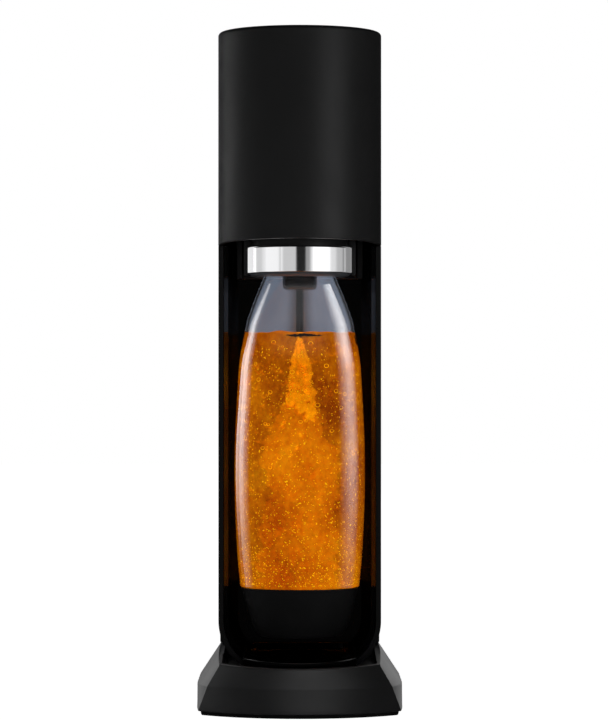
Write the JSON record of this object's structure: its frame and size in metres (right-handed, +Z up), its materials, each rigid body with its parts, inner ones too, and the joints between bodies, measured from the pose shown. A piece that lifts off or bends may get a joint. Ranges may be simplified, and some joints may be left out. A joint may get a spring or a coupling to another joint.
{
  "type": "soda carbonator",
  "caption": "Tall gas-driven soda carbonator: round head with a push button, tilting snap-lock collar with a clear bottle, and a rear bay for a gas cylinder.",
  "frame": {"origin": "middle of the footprint, on the surface the machine stands on", "axes": "+Z up, -Y is the front with the bottle, +X is the machine's left as it faces the user"},
  "size_m": [0.13, 0.185, 0.43],
  "materials": {
    "matte_black": "fine satin texture",
    "gloss_black": "high gloss",
    "dark_grey": "fine matte texture",
    "grey_plastic": "moulded",
    "chrome": "polished",
    "steel": "zinc plated",
    "brass": "machined",
    "rubber": "matte",
    "clear": "clear moulded",
    "cylinder_paint": "gloss enamel",
    "lever_teal": "moulded"
  },
  "bodies": {
    "machine": {"base_plinth": "dark_grey", "base_plate": "matte_black", "foot_strip_front": "rubber", "foot_strip_rear": "rubber", "base_screw_1": "steel", "base_screw_2": "steel", "base_screw_3": "steel", "base_screw_4": "steel", "column_frame": "matte_black", "bay_liner": "gloss_black", "head_shell": "matte_black", "spring_seat": "grey_plastic", "button_spring": "steel", "valve_bracket": "steel", "bracket_screw_1": "steel", "bracket_screw_2": "steel", "valve_lever_pin": "steel", "connector_block": "brass", "inlet_seal": "rubber", "relief_valve": "brass", "gas_hose": "grey_plastic", "quick_lever_pin_left": "steel", "quick_lever_pin_right": "steel", "lock_housing": "dark_grey", "lock_housing_screw_1": "steel", "lock_housing_screw_2": "steel"},
    "drip_tray": {"drip_tray": "gloss_black"},
    "rear_cover": {"rear_cover": "matte_black"},
    "button": {"button_cap": "dark_grey"},
    "valve_lever": {"valve_lever": "steel"},
    "valve_pin": {"valve_pin": "brass"},
    "quick_lever": {"quick_lever": "lever_teal"},
    "gas_cylinder": {"gas_cylinder": "cylinder_paint", "cylinder_valve": "brass"},
    "bottle_holder": {"collar_carrier": "matte_black", "collar_ring": "chrome", "collar_lip": "grey_plastic", "collar_core": "matte_black", "pivot_pin_left": "steel", "pivot_pin_right": "steel", "nozzle_head": "grey_plastic", "carbonation_tube": "matte_black", "bottle_seal": "rubber"},
    "bottle": {"bottle_vessel": "clear", "bottle_base_cup": "dark_grey"}
  },
  "joints": [
    {"name": "holder_tilt", "type": "hinge", "parent": "machine", "child": "bottle_holder", "pos_m": [0, 0.0025, 0.303], "axis": [-1, 0, 0], "range_deg": [0, 18]},
    {"name": "bottle_drop", "type": "slide", "parent": "bottle_holder", "child": "bottle", "axis": [0, 0, -1], "range_m": [0, 0.0202]},
    {"name": "button_press", "type": "slide", "parent": "machine", "child": "button", "axis": [0, 0, -1], "range_m": [0, 0.006], "stiffness_N_per_m": 900, "springref_m": -0.003, "deforming": ["button_spring"]},
    {"name": "valve_lever_turn", "type": "hinge", "parent": "machine", "child": "valve_lever", "pos_m": [0, 0.0735, 0.409], "axis": [1, 0, 0], "range_deg": [0, 3.6]},
    {"name": "valve_pin_push", "type": "slide", "parent": "machine", "child": "valve_pin", "axis": [0, 0, -1], "range_m": [0, 0.00125]},
    {"name": "quick_lever_lift", "type": "hinge", "parent": "machine", "child": "quick_lever", "pos_m": [0, 0.0539, 0.382], "axis": [1, 0, 0], "range_deg": [0, 50]},
    {"name": "cylinder_drop", "type": "slide", "parent": "machine", "child": "gas_cylinder", "axis": [0, 0, -1], "range_m": [0, 0.0039]},
    {"name": "rear_cover_pull", "type": "slide", "parent": "machine", "child": "rear_cover", "axis": [0, 1, 0], "range_m": [0, 0.09]},
    {"name": "drip_tray_lift", "type": "slide", "parent": "machine", "child": "drip_tray", "axis": [0, 0, 1], "range_m": [0, 0.006]}
  ],
  "couplings": [
    {"joint": "bottle_drop", "follows": "holder_tilt", "m_per_rad": 0.0636},
    {"joint": "valve_lever_turn", "follows": "button_press", "rad_per_m": 10.309},
    {"joint": "valve_pin_push", "follows": "button_press", "ratio": 0.202},
    {"joint": "quick_lever_lift", "follows": "cylinder_drop", "rad_per_m": 223.7}
  ]
}
